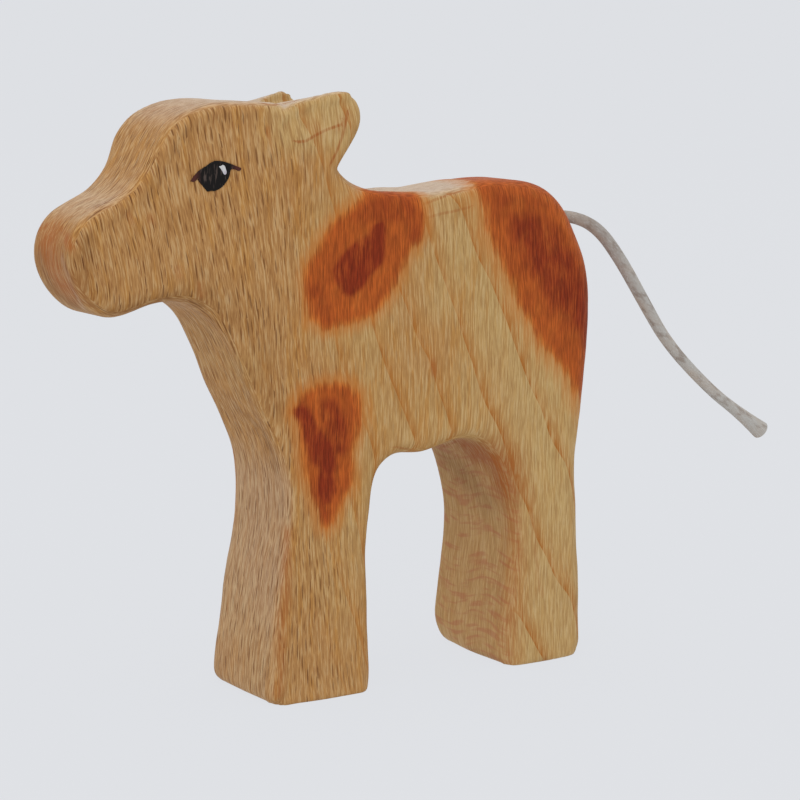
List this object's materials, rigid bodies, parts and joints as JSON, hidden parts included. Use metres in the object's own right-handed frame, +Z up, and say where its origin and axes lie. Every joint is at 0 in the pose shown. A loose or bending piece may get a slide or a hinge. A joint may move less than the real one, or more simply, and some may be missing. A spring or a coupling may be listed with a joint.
{
  "type": "cow figurine",
  "caption": "Small beech cow figurine sawn from a board and rounded by hand, standing on leg blocks, with painted eyes, orange-brown stain patches and a glued-in cord tail.",
  "frame": {"origin": "on the plane of the soles, midway between nose and rump and in the middle of the board's thickness", "axes": "the cow faces -X, +X points to its tail, +Y runs through the board to its right flank, +Z is up"},
  "size_m": [0.1298, 0.022, 0.087],
  "materials": {
    "beech": "oiled, rubbed smooth, satin",
    "tail_cord": "waxed twisted cord, matte",
    "wood_glue": "dry, matte",
    "dark_paint": "hand-painted, satin",
    "white_paint": "hand-painted, satin"
  },
  "bodies": {
    "root": {"carved_body": "beech", "tail_cord": "tail_cord", "tail_glue": "wood_glue", "left_eye_paint": "dark_paint", "left_eye_glint": "white_paint", "right_eye_paint": "dark_paint", "right_eye_glint": "white_paint"}
  },
  "joints": []
}
